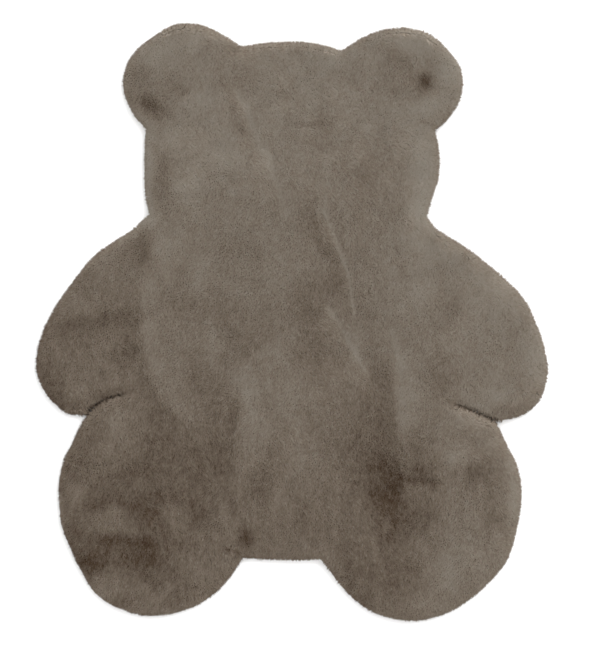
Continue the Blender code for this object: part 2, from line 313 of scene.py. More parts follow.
LEFT_LEG_PATCHES = (
    Patch("left leg", -13.0, -0.24, -0.29, 0.14, 0.13, 0),
    # Painted shade on the left leg's rims, here and below at the knee and the shin.
    Patch("left leg rim", -16.0, -0.336, -0.225, 0.020, 0.034, -15),
    Patch("left thigh, top", -9.0, -0.308, -0.174, 0.022, 0.014, 20),
    Patch("left thigh, light", 11.0, -0.272, -0.168, 0.022, 0.034, 0),
    Patch("left thigh, inner", 13.0, -0.108, -0.292, 0.022, 0.042, 0),
    Patch("left hip", -11.0, -0.206, -0.198, 0.028, 0.036, 0),
    Patch("left thigh, back", -14.0, -0.205, -0.268, 0.026, 0.014, 0),
    Patch("left thigh, low", -10.0, -0.256, -0.232, 0.034, 0.013, 0),
    Patch("left knee, light", 14.0, -0.332, -0.262, 0.013, 0.026, 0),
    Patch("left knee rim", -7.0, -0.338, -0.320, 0.020, 0.030, 0),
    Patch("left shin arc", 10.0, -0.276, -0.304, 0.036, 0.012, 15),
    Patch("left shin streak", 6.0, -0.174, -0.304, 0.034, 0.011, -38),
    # Painted shade in the hollows of the left knee, calf and ankle.
    Patch("left knee hollow", -16.0, -0.310, -0.280, 0.020, 0.018, 0),
    Patch("left calf hollow", -16.0, -0.226, -0.299, 0.024, 0.018, 0),
    Patch("left knee dent", -10.0, -0.250, -0.290, 0.018, 0.012, 0),
    Patch("left calf, inner", -10.0, -0.140, -0.305, 0.024, 0.020, 0),
    Patch("left shin band", -17.0, -0.282, -0.336, 0.044, 0.010, -8),
    Patch("left ankle hollow", -26.0, -0.232, -0.367, 0.044, 0.023, -4),
    Patch("left foot edge", -30.0, -0.312, -0.374, 0.027, 0.023, 0),
    Patch("left shin rim", -14.0, -0.346, -0.346, 0.016, 0.018, 0),
    Patch("left heel", -12.0, -0.214, -0.336, 0.036, 0.018, 0),
    Patch("left foot, middle light", 5.0, -0.150, -0.380, 0.030, 0.016, 0),
    Patch("left foot, upper", -9.0, -0.222, -0.400, 0.030, 0.012, 0),
    Patch("left foot, inner", -13.0, -0.165, -0.424, 0.038, 0.014, 20),
    Patch("left foot, sole", -14.0, -0.270, -0.434, 0.038, 0.012, 15),
)

PATCHES = HEAD_PATCHES + ARM_PATCHES + BODY_PATCHES + RIGHT_LEG_PATCHES + LEFT_LEG_PATCHES

# The last column is painted shade on the rolled edge: the rows nearest the floor are darkest.
EDGE_ROWS = (
    EdgeRow("against the floor", 0.0058, 0.0015, 0.0012, 0.0012, -24.0),
    EdgeRow("over the floor", 0.0062, 0.0030, -0.0002, 0.0032, -24.0),
    EdgeRow("furthest out", 0.0068, 0.0046, -0.0009, 0.0062, -22.0),
    EdgeRow("lower shoulder", 0.0074, 0.0064, 0.0004, 0.0092, -18.0),
    EdgeRow("upper shoulder", 0.0084, 0.0082, 0.0020, 0.0122, -9.0),
    EdgeRow("brow of the roll", 0.0100, 0.0096, 0.0046, 0.0146, -1.0),
)

REGIONS = (
    Region("head_left", -0.130, 0.330),
    Region("head_right", 0.130, 0.330),
    Region("arm_left", -0.290, 0.020),
    Region("arm_right", 0.290, 0.020),
    Region("chest", 0.000, 0.110),
    Region("belly", 0.000, -0.110),
    Region("lap", 0.000, -0.290),
    Region("leg_left", -0.250, -0.300),
    Region("leg_right", 0.250, -0.300),
)


def unit(vectors: Array) -> Array:
    """Scale each row to unit length.

    Args:
        vectors: rows of two or three numbers.

    Returns:
        The rows, each of length 1.
    """
    return vectors / np.maximum(np.linalg.norm(vectors, axis=1, keepdims=True), 1e-12)


def turned_left(directions: Array) -> Array:
    """Turn directions in plan a quarter turn to their left.

    Args:
        directions: rows of x and y.

    Returns:
        The turned rows.
    """
    return np.column_stack((-directions[:, 1], directions[:, 0]))


@dataclass(frozen=True)
class SoftNoise:
    """Smooth random waves over the plan, between -1 and 1.

    A grid of random numbers is blended from cell to cell, so that it is quick for many points.
    """

    cell: float
    seed: int
    stretch: float = 1.0
    turn: float = 0.0

    def at(self, points: Array) -> Array:
        """Read the waves.

        Args:
            points: rows of x and y in metres.

        Returns:
            One number for each point.
        """
        c, s = math.cos(math.radians(self.turn)), math.sin(math.radians(self.turn))
        across = (points @ np.array(((c, s), (-s, c))).T) / (self.cell, self.cell * self.stretch)
        across = across - across.min(axis=0) + 1.0
        low = np.floor(across).astype(int)
        grid = np.random.default_rng(self.seed).uniform(-1.0, 1.0, low.max(axis=0) + 2)
        part = across - low
        part = part * part * (3.0 - 2.0 * part)
        x, y = low.T
        near = grid[x, y] * (1.0 - part[:, 0]) + grid[x + 1, y] * part[:, 0]
        far = grid[x, y + 1] * (1.0 - part[:, 0]) + grid[x + 1, y + 1] * part[:, 0]
        return near * (1.0 - part[:, 1]) + far * part[:, 1]


class Polyline:
    """A line in plan that points are measured against."""

    def __init__(self, points: Array, closed: bool) -> None:
        """Keep the line's segments.

        Args:
            points: rows of x and y along the line.
            closed: whether the last point joins the first.
        """
        self.start = np.asarray(points, dtype=float)
        self.end = np.roll(self.start, -1, axis=0)
        if not closed:
            self.start, self.end = self.start[:-1], self.end[:-1]
        self.run = self.end - self.start

    @classmethod
    def smooth(cls, points: Route, samples: int = 8) -> Polyline:
        """Run a smooth open curve through a few points.

        Args:
            points: the places that the curve passes.
            samples: steps between two of them.

        Returns:
            The curve as a line of short steps.
        """
        p = np.array(points, dtype=float)
        p = np.vstack((2 * p[0] - p[1], p, 2 * p[-1] - p[-2]))
        t = np.linspace(0.0, 1.0, samples, endpoint=False)[:, None]
        steps = [
            0.5 * (2 * b + (c - a) * t + (2 * a - 5 * b + 4 * c - d) * t**2 + (3 * b - a - 3 * c + d) * t**3)
            for a, b, c, d in zip(p, p[1:], p[2:], p[3:])
        ]
        return cls(np.vstack(steps + [p[-2:-1]]), closed=False)

    def measure(self, points: Array, block: int = 20000) -> tuple[Array, Array, Array]:
        """Find how far points lie from the line, and on which side.

        Args:
            points: rows of x and y.
            block: how many points are measured at once, which bounds the memory used.

        Returns:
            Each point's distance, the unit direction from the line to it, and how far that is to the line's
            left: 1 beside it, -1 on its right, and less round its ends.
        """
        distances, aways, sides = [], [], []
        for first in range(0, len(points), block):
            some = points[first : first + block]
            reach = some[:, None, :] - self.start[None]
            along = np.clip((reach * self.run).sum(axis=2) / (self.run**2).sum(axis=1), 0.0, 1.0)
            away = reach - along[:, :, None] * self.run
            distance = np.hypot(away[:, :, 0], away[:, :, 1])
            nearest = distance.argmin(axis=1)
            rows = np.arange(len(some))
            run, away = unit(self.run[nearest]), unit(away[rows, nearest])
            distances.append(distance[rows, nearest])
            aways.append(away)
            sides.append(run[:, 0] * away[:, 1] - run[:, 1] * away[:, 0])
        return np.concatenate(distances), np.vstack(aways), np.concatenate(sides)


@dataclass
class RugPattern:
    """The rug's own form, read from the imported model: its edge and its surfaces."""

    node: str = "rug"
    tuck_slack: float = 1e-4
    join_gap: float = 1e-5
    edge: Array = field(init=False)
    rim: Polyline = field(init=False)
    top: BVHTree = field(init=False)

    def form(self) -> bmesh.types.BMesh:
        """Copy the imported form, with the corners that its file keeps apart joined again.

        Returns:
            The form in triangles, which the caller frees.
        """
        form = bmesh.new()
        form.from_mesh(bpy.data.objects[self.node].data)
        bmesh.ops.remove_doubles(form, verts=form.verts, dist=self.join_gap)
        bmesh.ops.triangulate(form, faces=form.faces)
        form.verts.ensure_lookup_table()
        form.verts.index_update()
        form.normal_update()
        return form

    def read(self) -> RugPattern:
        """Read the edge, where the pile reaches out the furthest, and the pile's surface.

        Returns:
            The pattern itself, ready to be asked.
        """
        form = self.form()
        after: dict[int, int] = {}
        for face in form.faces:
            resting = [v for v in face.verts if v.co.z < self.tuck_slack]
            if len(resting) != 1:
                continue
            for loop in face.loops:
                if resting[0] not in loop.edge.verts:
                    after[loop.link_loop_next.vert.index] = loop.vert.index
        ring = [next(iter(after))]
        while after[ring[-1]] != ring[0]:
            ring.append(after[ring[-1]])
        self.edge = np.array([form.verts[i].co.xy for i in ring])
        self.rim = Polyline(self.edge, closed=True)
        self.top = BVHTree.FromBMesh(form)
        form.free()
        return self

    def inset(self, points: Array) -> tuple[Array, Array]:
        """Measure how far points lie in from the edge.

        Args:
            points: rows of x and y inside the edge.

        Returns:
            Each point's distance from the edge, and the direction outwards to it.
        """
        distance, away, _ = self.rim.measure(points)
        return distance, -away

    def along_edge(self, step: float) -> tuple[Array, Array]:
        """Walk round the edge in even steps.

        Args:
            step: how far apart the places are.

        Returns:
            The places, and the direction outwards at each.
        """
        lengths = np.linalg.norm(self.rim.run, axis=1)
        travelled = np.concatenate(([0.0], np.cumsum(lengths)))
        stops = np.linspace(0.0, travelled[-1], round(travelled[-1] / step), endpoint=False)
        closed = np.vstack((self.edge, self.edge[:1]))
        places = np.column_stack([np.interp(stops, travelled, closed[:, k]) for k in (0, 1)])
        corner = unit(turned_left(unit(self.rim.run)) + turned_left(unit(np.roll(self.rim.run, 1, axis=0))))
        corner = np.vstack((corner, corner[:1]))
        outward = unit(np.column_stack([np.interp(stops, travelled, corner[:, k]) for k in (0, 1)]))
        return places, outward if self.signed_area < 0 else -outward

    @property
    def signed_area(self) -> float:
        """The cut's flat area, below zero where its edge is walked clockwise."""
        x, y = self.edge.T
        return 0.5 * float((x * np.roll(y, -1) - y * np.roll(x, -1)).sum())

    @property
    def area(self) -> float:
        """The cut's flat area."""
        return abs(self.signed_area)

    @property
    def size(self) -> tuple[float, float]:
        """The cut's width and length."""
        width, length = self.edge.max(axis=0) - self.edge.min(axis=0)
        return float(width), float(length)


@dataclass(frozen=True)
class NapChart:
    """How the pile is combed over the rug, and the light and shade painted into its colour.

    It is combed towards the feet, wanders from there, leans as each line says and turns outwards at the edge.
    """

    lines: tuple[NapLine, ...] = NAP_LINES
    patches: tuple[Patch, ...] = PATCHES
    heading: float = -90.0
    wander: float = 32.0
    wander_broad: SoftNoise = SoftNoise(0.09, 21)
    wander_fine: SoftNoise = SoftNoise(0.02, 22)
    line_pull: float = 0.15
    edge_pull: float = 2.4
    edge_width: float = 0.010
    lean: float = 0.75
    lean_change: float = 0.25
    lean_waves: SoftNoise = SoftNoise(0.03, 23)
    blotch: float = 2.0
    blotch_waves: SoftNoise = SoftNoise(0.034, 11, 1.6)
    mottle: float = 3.3
    mottle_waves: SoftNoise = SoftNoise(0.012, 12, 1.6, 12.0)
    speckle: float = 4.9
    speckle_waves: SoftNoise = SoftNoise(0.0045, 13, 1.5, -8.0)
    openness: float = 0.045
    least_open: float = 0.3
    most_open: float = 1.5

    def shade(self, points: Array) -> Array:
        """Painted light and shade of the pile, from its patches and the lines it is brushed along, with its
        own random mottling.

        Args:
            points: rows of x and y.

        Returns:
            Steps of 255 lighter or darker than the plain pile.
        """
        shade = np.zeros(len(points))
        for patch in self.patches:
            turn = math.radians(patch.turn)
            c, s = math.cos(turn), math.sin(turn)
            at = (points - (patch.x, patch.y)) @ np.array(((c, -s), (s, c)))
            shade += patch.shade * np.exp(-((at / (patch.half_width, patch.half_length)) ** 2).sum(axis=1))
        for line in self.lines:
            distance, _, side = Polyline.smooth(line.route).measure(points)
            across = distance / line.width
            if line.kind is NapKind.STEP:
                shade -= line.shade * side * across * np.exp(1.0 - across)
            else:
                shade += line.shade * np.exp(-(across**2))
        own = self.blotch * self.blotch_waves.at(points)
        own += self.mottle * self.mottle_waves.at(points)
        own += self.speckle * self.speckle_waves.at(points)
        return shade + own * self.opening(shade)

    def opening(self, shade: Array) -> Array:
        """Tell how open the pile stands: more where it is dark, and less where it lies flat and light.

        Args:
            shade: the pile's shade at each tuft.

        Returns:
            1 in plain pile, more in the dark and less in the light.
        """
        return np.clip(1.0 - self.openness * shade, self.least_open, self.most_open)

    def comb(self, points: Array, inset: Array, outward: Array) -> tuple[Array, Array]:
        """Direction in which the pile leans, and how far.

        Args:
            points: rows of x and y.
            inset: distance of each from the edge.
            outward: direction of each to the edge.

        Returns:
            Unit directions in plan, and how far the lean goes, from 0, upright, to 1.
        """
        broad, fine = self.wander_broad.at(points), self.wander_fine.at(points)
        turn = np.radians(self.heading + self.wander * broad + self.wander * fine)
        way = np.column_stack((np.cos(turn), np.sin(turn)))
        for line in self.lines:
            distance, away, side = Polyline.smooth(line.route).measure(points)
            across = distance / line.width
            pull = self.line_pull * abs(line.shade) * (across * np.exp(-across))[:, None]
            if line.kind is NapKind.PARTING:
                way += away * pull
            elif line.kind is NapKind.STEP:
                way += away * side[:, None] * pull
            else:
                way -= away * pull
        way += outward * self.edge_pull * np.exp(-inset / self.edge_width)[:, None]
        return unit(way), self.lean + self.lean_change * self.lean_waves.at(points)

    def closing(self, points: Array, within: float = 0.005) -> Array:
        """Tell how far the pile of the edge has to close over a cut.

        Args:
            points: rows of x and y on the edge.
            within: how near to a cut the edge belongs to it.

        Returns:
            1 beside a cut, falling to 0 away from it.
        """
        share = np.zeros(len(points))
        for line in self.lines:
            if line.kind is NapKind.CUT:
                distance, _, _ = Polyline.smooth(line.route).measure(points)
                share = np.maximum(share, np.clip(2.0 - distance / within, 0.0, 1.0))
        return share


@dataclass
class TuftMesh:
    """Closed, tapering tufts joined into one mesh, each a ring or two of points and a tip."""

    sides: int = 3
    crossing: tuple[float, float, float] = (0.31, 0.17, 0.02)
    side_tone: float = 0.006

    def build(
        self, name: str, rings: list[tuple[Array, Array]], tips: Array, tone: Array, spin: Array
    ) -> bpy.types.Object:
        """Make one joined mesh of tufts.

        Args:
            name: the piece's name.
            rings: for each ring from the root up, its middles and its half widths.
            tips: the tufts' tips.
            tone: each tuft's place on the colour card, from 0, dark, to 1, light.
            spin: each tuft's turn about its own length, in radians.

        Returns:
            The new object, linked to the scene.
        """
        count, sides, levels = len(tips), self.sides, len(rings)
        axis = unit(tips - rings[0][0])
        side_way = unit(np.cross(axis, self.crossing))
        up_way = np.cross(axis, side_way)
        verts = np.empty((count, sides * levels + 1, 3))
        for level, (middles, half) in enumerate(rings):
            for k in range(sides):
                angle = spin + 2.0 * math.pi * k / sides
                off = side_way * np.cos(angle)[:, None] + up_way * np.sin(angle)[:, None]
                verts[:, level * sides + k] = middles + off * half[:, None]
        verts[:, -1] = tips

        loops: list[tuple[int, int, int]] = [tuple(range(sides - 1, -1, -1))]
        for level in range(levels - 1):
            for k in range(sides):
                a, b = level * sides + k, level * sides + (k + 1) % sides
                loops += [(a, b, b + sides), (a, b + sides, a + sides)]
        last = (levels - 1) * sides
        loops += [(last + k, last + (k + 1) % sides, sides * levels) for k in range(sides)]
        pattern = np.array(loops)
        corners = (pattern[None] + (np.arange(count) * (sides * levels + 1))[:, None, None]).reshape(-1, 3)

        card = np.empty((count, sides * levels + 1, 2))
        for level in range(levels):
            for k in range(sides):
                card[:, level * sides + k, 0] = tone + self.side_tone * (k - 1)
                card[:, level * sides + k, 1] = CARD_LOW + (CARD_HIGH - CARD_LOW) * level / levels
        card[:, -1, 0], card[:, -1, 1] = tone, CARD_HIGH

        mesh = bpy.data.meshes.new(name)
        mesh.vertices.add(verts.shape[0] * verts.shape[1])
        mesh.vertices.foreach_set("co", verts.astype(np.float32).ravel())
        mesh.loops.add(corners.size)
        mesh.loops.foreach_set("vertex_index", corners.astype(np.int32).ravel())
        mesh.polygons.add(len(corners))
        mesh.polygons.foreach_set("loop_start", np.arange(0, corners.size, 3, dtype=np.int32))
        mesh.polygons.foreach_set("use_smooth", np.ones(len(corners), dtype=bool))
        layer = mesh.uv_layers.new(name=CARD_MAP)
        layer.uv.foreach_set("vector", card.reshape(-1, 2)[corners.ravel()].astype(np.float32).ravel())
        mesh.update()
        mesh.validate()
        piece = bpy.data.objects.new(name, mesh)
        bpy.context.scene.collection.objects.link(piece)
        return piece


def material_nodes(name: str) -> tuple[bpy.types.Material, bpy.types.NodeTree, bpy.types.Node]:
    """Start a material with a principled shader.

    Args:
        name: the material's name.

    Returns:
        The material, its node tree and its shader.
    """
    material = bpy.data.materials.new(name)
    material.use_nodes = True
    tree = material.node_tree
    return material, tree, tree.nodes["Principled BSDF"]


def ramp(
    tree: bpy.types.NodeTree, factor: bpy.types.NodeSocket, stops: dict[float, Colour]
) -> bpy.types.NodeSocket:
    """Add a colour ramp.

    Args:
        tree: the material's nodes.
        factor: what the ramp is read by.
        stops: colour at each place along the ramp.

    Returns:
        The ramp's colour.
    """
    node = tree.nodes.new("ShaderNodeValToRGB")
    elements = node.color_ramp.elements
    elements.remove(elements[1])
    for number, (place, colour) in enumerate(stops.items()):
        element = elements.new(place) if number else elements[0]
        element.position = place
        element.color = (*colour, 1.0)
    tree.links.new(factor, node.inputs["Fac"])
    return node.outputs["Color"]


@dataclass(frozen=True)
class PlushFinish:
    """Matt plush fibre: browner in its painted shade where it lies away, greyer in its painted light where it
    shines.
    """

    dark: Colour = (0.066, 0.036, 0.018)
    plain: Colour = (0.276, 0.227, 0.178)
    light: Colour = (0.600, 0.592, 0.530)
    # The roots are painted lighter than the tips: painted light that stands in for light scattered down into
    # the pile.
    root: float = 1.0
    tip: float = 0.92
    roughness: float = 0.9
    specular: float = 0.0
    sheen: float = 0.03
    sheen_roughness: float = 0.6

    def material(self) -> bpy.types.Material:
        """Make the fibre's material, coloured by each tuft's place on the card.

        Returns:
            The material.
        """
        material, tree, shader = material_nodes("plush")
        card = tree.nodes.new("ShaderNodeUVMap")
        card.uv_map = CARD_MAP
        split = tree.nodes.new("ShaderNodeSeparateXYZ")
        tree.links.new(card.outputs["UV"], split.inputs["Vector"])
        # Across the card, painted shade to painted light; up it, from the lighter painted roots to the tips.
        tone = ramp(tree, split.outputs["X"], {0.0: self.dark, 0.5: self.plain, 1.0: self.light})
        depth = ramp(tree, split.outputs["Y"], {0.0: (self.root,) * 3, 1.0: (self.tip,) * 3})
        mix = tree.nodes.new("ShaderNodeMix")
        mix.data_type = "RGBA"
        mix.blend_type = "MULTIPLY"
        mix.inputs["Factor"].default_value = 1.0
        tree.links.new(tone, mix.inputs["A"])
        tree.links.new(depth, mix.inputs["B"])
        tree.links.new(mix.outputs["Result"], shader.inputs["Base Color"])
        shader.inputs["Roughness"].default_value = self.roughness
        shader.inputs["Sheen Weight"].default_value = self.sheen
        shader.inputs["Sheen Roughness"].default_value = self.sheen_roughness
        shader.inputs["Specular IOR Level"].default_value = self.specular
        return material


@dataclass(frozen=True)
class ClothFinish:
    """The knitted ground of the plush: ribs a few millimetres wide, in uneven yarn."""

    name: str
    low: Colour
    high: Colour
    rib: float
    depth: float
    rib_wander: float = 1.2
    rib_detail: float = 1.0
    rib_detail_scale: float = 2.0
    yarn_scale: float = 240.0
    yarn_detail: float = 3.0
    high_from: float = 0.6
    bump: float = 0.6
    roughness: float = 0.92
    specular: float = 0.2

    def material(self) -> bpy.types.Material:
        """Make the cloth's material: ribs of knitting, with uneven yarn colour and a soft bump.

        Returns:
            The material.
        """
        material, tree, shader = material_nodes(self.name)
        place = tree.nodes.new("ShaderNodeTexCoord")
        rib = tree.nodes.new("ShaderNodeTexWave")
        rib.wave_type = "BANDS"
        rib.bands_direction = "X"
        rib.inputs["Scale"].default_value = WAVE_PERIOD / self.rib
        rib.inputs["Distortion"].default_value = self.rib_wander
        rib.inputs["Detail"].default_value = self.rib_detail
        rib.inputs["Detail Scale"].default_value = self.rib_detail_scale
        yarn = tree.nodes.new("ShaderNodeTexNoise")
        yarn.inputs["Scale"].default_value = self.yarn_scale
        yarn.inputs["Detail"].default_value = self.yarn_detail
        for texture in (rib, yarn):
            tree.links.new(place.outputs["Object"], texture.inputs["Vector"])
        both = tree.nodes.new("ShaderNodeMath")
        both.operation = "MULTIPLY"
        tree.links.new(rib.outputs["Fac"], both.inputs[0])
        tree.links.new(yarn.outputs["Fac"], both.inputs[1])
        colour = ramp(tree, both.outputs["Value"], {0.0: self.low, self.high_from: self.high})
        tree.links.new(colour, shader.inputs["Base Color"])
        bump = tree.nodes.new("ShaderNodeBump")
        bump.inputs["Strength"].default_value = self.bump
        bump.inputs["Distance"].default_value = self.depth
        tree.links.new(both.outputs["Value"], bump.inputs["Height"])
        tree.links.new(bump.outputs["Normal"], shader.inputs["Normal"])
        shader.inputs["Roughness"].default_value = self.roughness
        shader.inputs["Specular IOR Level"].default_value = self.specular
        return material


PILE_GROUND = ClothFinish("pile ground", (0.230, 0.188, 0.146), (0.340, 0.280, 0.219), 0.0030, 0.0006)
KNITTED_BACK = ClothFinish("knitted back", (0.20, 0.18, 0.155), (0.42, 0.385, 0.34), 0.0022, 0.0005)


@dataclass
class Cloth:
    """The rug's cut cloth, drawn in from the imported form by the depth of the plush."""

    pattern: RugPattern
    plush_depth: float = 0.0054
    back_height: float = 0.001
    back_slope: float = -0.5
    unevenness: float = 0.0005
    bumps: SoftNoise = SoftNoise(0.004, 31)
    body: bpy.types.Object = field(init=False)
    surface: BVHTree = field(init=False)

    def build(self) -> bpy.types.Object:
        """Make the cloth as one closed solid with a flat back.

        Returns:
            The cloth's object.
        """
        form = self.pattern.form()
        raised = [v for v in form.verts if v.co.z > self.back_height]
        moves = {v: v.normal * self.plush_depth for v in raised}
        for v, move in moves.items():
            v.co -= move
        upper_edges = [e for e in form.edges if max(v.co.z for v in e.verts) > self.back_height]
        bmesh.ops.subdivide_edges(form, edges=upper_edges, cuts=1, use_grid_fill=True)
        bmesh.ops.triangulate(form, faces=form.faces)
        upper = [v for v in form.verts if v.co.z > self.back_height]
        for v, bump in zip(upper, self.bumps.at(np.array([v.co.xy for v in upper]))):
            v.co.z += self.unevenness * float(bump)
        bmesh.ops.recalc_face_normals(form, faces=form.faces)
        self.surface = BVHTree.FromBMesh(form)
        mesh = bpy.data.meshes.new("cloth")
        form.to_mesh(mesh)
        form.free()
        self.body = bpy.data.objects.new("cloth", mesh)
        bpy.context.scene.collection.objects.link(self.body)
        return self.body

    def dress(self) -> None:
        """Give the pile's ground and the back their finishes."""
        mesh = self.body.data
        for finish in (PILE_GROUND, KNITTED_BACK):
            mesh.materials.append(finish.material())
        for face in mesh.polygons:
            face.material_index = int(face.normal.z < self.back_slope)
            face.use_smooth = face.normal.z >= self.back_slope


@dataclass
class Plush:
    """The pile: fine tufts over the whole cloth, and rows of longer ones rolled over its edge.

    Where the pile is light its tufts lie flatter and stand fuller, which lightens it by itself, so that their
    colour takes only a part of the lighter shade, `painted_light_share`, as painted light.
    """

    pattern: RugPattern
    cloth: Cloth
    chart: NapChart
    pitch: float = 0.00174
    scatter: float = 0.36
    half_width: float = 0.00175
    width_range: tuple[float, float] = (0.85, 1.15)
    length_range: tuple[float, float] = (0.90, 1.06)
    reach: float = 0.0052
    clump: float = 0.0046
    gather: float = 0.16
    grain: float = 4.4
    card_steps: float = 100.0
    flatness: float = 0.30
    fullness: float = 0.45
    painted_light_share: float = 0.66
    edge_pitch: float = 0.0021
    edge_width: float = 0.7
    edge_length_range: tuple[float, float] = (0.75, 1.15)
    edge_spread: float = 0.0009
    bend_width: float = 0.9
    bend_lift: float = 0.0008
    lowest_tip: float = 0.0004
    rim_wave: float = 0.0011
    rim_waves: SoftNoise = SoftNoise(0.016, 41)
    cut_reach: float = 0.0042
    cut_reach_above: float = 0.5
    cut_reach_height: float = 0.010
    cut_calm: float = 0.5
    seed: int = 7
    pieces: list[bpy.types.Object] = field(default_factory=list)

    def sow(self) -> tuple[Array, Array]:
        """Spread the roots of the field's tufts over the cloth.

        Returns:
            The roots, and the height of the pile's surface above each.
        """
        rng = np.random.default_rng(self.seed)
        low, high = self.pattern.edge.min(axis=0), self.pattern.edge.max(axis=0)
        rank = self.pitch * math.sin(math.radians(60.0))
        y = np.arange(low[1], high[1], rank)
        x = np.arange(low[0], high[0], self.pitch)
        plan = np.stack(np.meshgrid(x, y), axis=-1)
        plan[1::2, :, 0] += 0.5 * self.pitch
        plan = plan.reshape(-1, 2)
        plan = plan + rng.uniform(-self.scatter, self.scatter, plan.shape) * self.pitch
        roots, heights = [], []
        down = Vector((0.0, 0.0, -1.0))
        for px, py in plan:
            above = Vector((px, py, 1.0))
            ground = self.cloth.surface.ray_cast(above, down)[0]
            if ground is None:
                continue
            surface = self.pattern.top.ray_cast(above, down)[0]
            if surface is None:
                continue
            roots.append(ground)
            heights.append(surface.z)
        return np.array(roots), np.array(heights)

    def clump_pull(self, points: Array) -> Array:
        """Draw tips together into small locks, each round a random place in its own cell of a grid.

        Args:
            points: rows of x and y of the tips.

        Returns:
            How far each tip moves in plan, where the pile is plain.
        """
        mix_x, mix_y, places = 73856093, 19349663, 1009
        cell = np.floor(points / self.clump).astype(int)
        best = np.full(len(points), np.inf)
        pull = np.zeros_like(points)
        for dx in (-1, 0, 1):
            for dy in (-1, 0, 1):
                at = cell + (dx, dy)
                mixed = (at[:, 0] * mix_x) ^ (at[:, 1] * mix_y)
                within = np.column_stack((mixed % places, (mixed // places) % places)) / places
                centre = (at + within) * self.clump
                gap = np.linalg.norm(centre - points, axis=1)
                closer = gap < best
                best[closer] = gap[closer]
                pull[closer] = (centre - points)[closer]
        return pull * self.gather

    def tone(self, shade: Array, rng: np.random.Generator) -> Array:
        """Place each tuft on the colour card, by its painted shade and its own random difference.

        Args:
            shade: the pile's shade at each tuft.
            rng: where each tuft's own difference is drawn from.

        Returns:
            Tones from 0, dark, to 1, light.
        """
        own = rng.normal(0.0, self.grain, len(shade)) * self.chart.opening(shade)
        return np.clip(0.5 + (shade + own) / self.card_steps, CARD_LOW, CARD_HIGH)

    def build(self) -> list[bpy.types.Object]:
        """Make the pile, one piece for each region of the bear and one for the edge.

        Returns:
            The pieces.
        """
        rng = np.random.default_rng(self.seed + 1)
        roots, surface = self.sow()
        plan = roots[:, :2]
        inset, outward = self.pattern.inset(plan)
        way, lean = self.chart.comb(plan, inset, outward)
        shade = self.chart.shade(plan)
        # Painted light and shade put into each tuft's tone; the lighter side only in part.
        tone = self.tone(np.where(shade > 0.0, self.painted_light_share, 1.0) * shade, rng)
        length = rng.uniform(*self.length_range, len(plan))
        opening = self.chart.opening(shade)
        calm = np.maximum(1.0 - opening, 0.0)
        lie = self.reach * lean * length * (1.0 + self.flatness * calm)
        tips = roots.copy()
        tips[:, :2] += way * lie[:, None]
        tips[:, :2] += self.clump_pull(tips[:, :2]) * opening[:, None]
        tips[:, 2] += (surface - roots[:, 2]) * length
        half = self.half_width * rng.uniform(*self.width_range, len(plan)) * (1.0 + self.fullness * calm)
        spin = rng.uniform(0.0, 2.0 * math.pi, len(plan))
        middles = np.array([(region.x, region.y) for region in REGIONS])
        nearest = np.linalg.norm(plan[:, None] - middles[None], axis=2).argmin(axis=1)
        maker = TuftMesh()
        for number, region in enumerate(REGIONS):
            here = nearest == number
            rings = [(roots[here], half[here])]
            self.pieces.append(maker.build(f"pile_{region.name}", rings, tips[here], tone[here], spin[here]))
        self.pieces.append(self.build_edge(rng))
        return self.pieces

    def build_edge(self, rng: np.random.Generator) -> bpy.types.Object:
        """Make the rows of tufts that roll over the edge.

        Args:
            rng: where the tufts' differences are drawn from.

        Returns:
            The piece.
        """
        roots, bends, tips, edge_painted_shade = [], [], [], []
        for row in EDGE_ROWS:
            places, outward = self.pattern.along_edge(self.edge_pitch)
            shift = rng.uniform(-0.5, 0.5, (len(places), 1)) * self.edge_pitch
            places = places + turned_left(outward) * shift
            length = rng.uniform(*self.edge_length_range, len(places))
            root = np.column_stack((places - outward * row.root_inset, np.full(len(places), row.root_height)))
            tip = np.column_stack((places - outward * row.tip_inset, np.full(len(places), row.tip_height)))
            tip[:, :2] += turned_left(outward) * rng.normal(0.0, self.edge_spread, (len(places), 1))
            closing = self.chart.closing(places)
            wave = self.rim_wave * (1.0 - closing) * self.rim_waves.at(places)
            tip[:, :2] += outward * wave[:, None]
            share = 1.0 if row.tip_height < self.cut_reach_height else self.cut_reach_above
            tip[:, :2] += outward * (share * self.cut_reach * closing)[:, None]
            tip = root + (tip - root) * length[:, None]
            # Each row's painted shade, with less of it beside a cut.
            edge_painted_shade.append(row.shade * (1.0 - self.cut_calm * closing))
            bend = 0.5 * (root + tip)
            bend[:, 2] += self.bend_lift
            roots.append(root)
            bends.append(bend)
            tips.append(tip)
        root, bend, tip = np.vstack(roots), np.vstack(bends), np.vstack(tips)
        tip[:, 2] = np.maximum(tip[:, 2], self.lowest_tip)
        half = self.half_width * self.edge_width * rng.uniform(*self.width_range, len(root))
        spin = rng.uniform(0.0, 2.0 * math.pi, len(root))
        tone = self.tone(self.chart.shade(0.5 * (root + tip)[:, :2]) + np.concatenate(edge_painted_shade), rng)
        return TuftMesh().build("pile_edge", [(root, half), (bend, self.bend_width * half)], tip, tone, spin)

    def dress(self) -> None:
        """Give every piece of the pile the plush finish."""
        plush = PlushFinish().material()
        for piece in self.pieces:
            piece.data.materials.append(plush)


